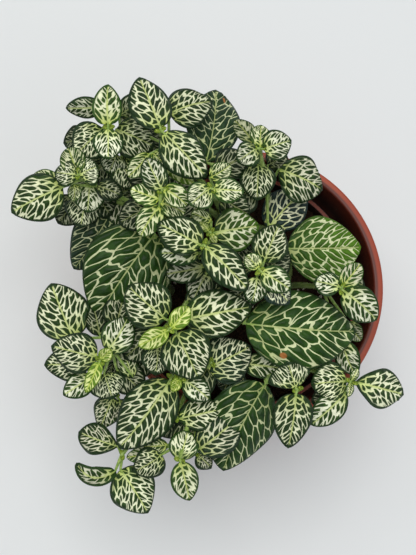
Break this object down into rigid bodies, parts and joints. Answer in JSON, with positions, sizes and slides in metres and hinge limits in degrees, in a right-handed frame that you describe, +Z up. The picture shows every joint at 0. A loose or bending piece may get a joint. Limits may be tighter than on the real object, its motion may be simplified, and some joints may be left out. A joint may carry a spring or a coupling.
{
  "type": "potted nerve plant",
  "caption": "Bushy nerve plant with white-veined green leaves in a round plastic nursery pot of soil, to stand on a shelf or sill.",
  "frame": {"origin": "middle of the pot's flat underside", "axes": "+Z up along the pot's axis; the foliage leans over the rim towards -X, and -Y is the front"},
  "size_m": [0.135, 0.1484, 0.1296],
  "materials": {
    "pot": "terracotta-coloured moulded polypropylene, satin",
    "soil": null,
    "stem": null,
    "leaf": null
  },
  "bodies": {
    "root": {"pot": "pot", "soil": "soil", "back_left_stems": "stem", "back_stems": "stem", "back_right_stems": "stem", "left_stems": "stem", "middle_stems": "stem", "right_stems": "stem", "front_right_stems": "stem", "front_left_stems": "stem", "back_heart_tip": "leaf", "back_top_tip": "leaf", "middle_top_tip": "leaf", "back_left_corner_tip": "leaf", "back_inner_tip": "leaf", "back_right_top_tip": "leaf", "middle_front_tip": "leaf", "right_top_tip": "leaf", "middle_front_pair": "leaf", "front_right_top_tip": "leaf", "back_top_pair": "leaf", "back_left_side_tip": "leaf", "back_heart_pair": "leaf", "middle_top_pair": "leaf", "back_right_bud_tip": "leaf", "back_left_corner_pair": "leaf", "left_top_tip": "leaf", "front_right_outer_tip": "leaf", "back_right_top_pair": "leaf", "right_outer_tip": "leaf", "front_left_inner_tip": "leaf", "front_right_outer_pair": "leaf", "left_top_pair": "leaf", "back_left_side_pair": "leaf", "back_big_leaf_tip": "leaf", "front_left_top_tip": "leaf", "back_inner_pair": "leaf", "middle_front_mid": "leaf", "right_top_pair": "leaf", "back_left_corner_low": "leaf", "middle_top_low": "leaf", "right_bigger_leaf_tip": "leaf", "middle_skirt_tip": "leaf", "front_right_big_leaf_tip": "leaf", "left_top_mid": "leaf", "right_big_leaf_tip": "leaf", "back_left_side_low": "leaf", "left_big_leaf_tip": "leaf", "front_left_big_leaf_tip": "leaf", "back_right_top_low": "leaf", "front_left_top_pair": "leaf", "right_outer_low": "leaf", "front_right_under_tip": "leaf", "left_top_low": "leaf", "left_curled_tip": "leaf", "back_left_wide_tip": "leaf", "front_left_trailing_tip": "leaf", "front_left_under_tip": "leaf", "front_left_skirt_tip": "leaf"}
  },
  "joints": []
}
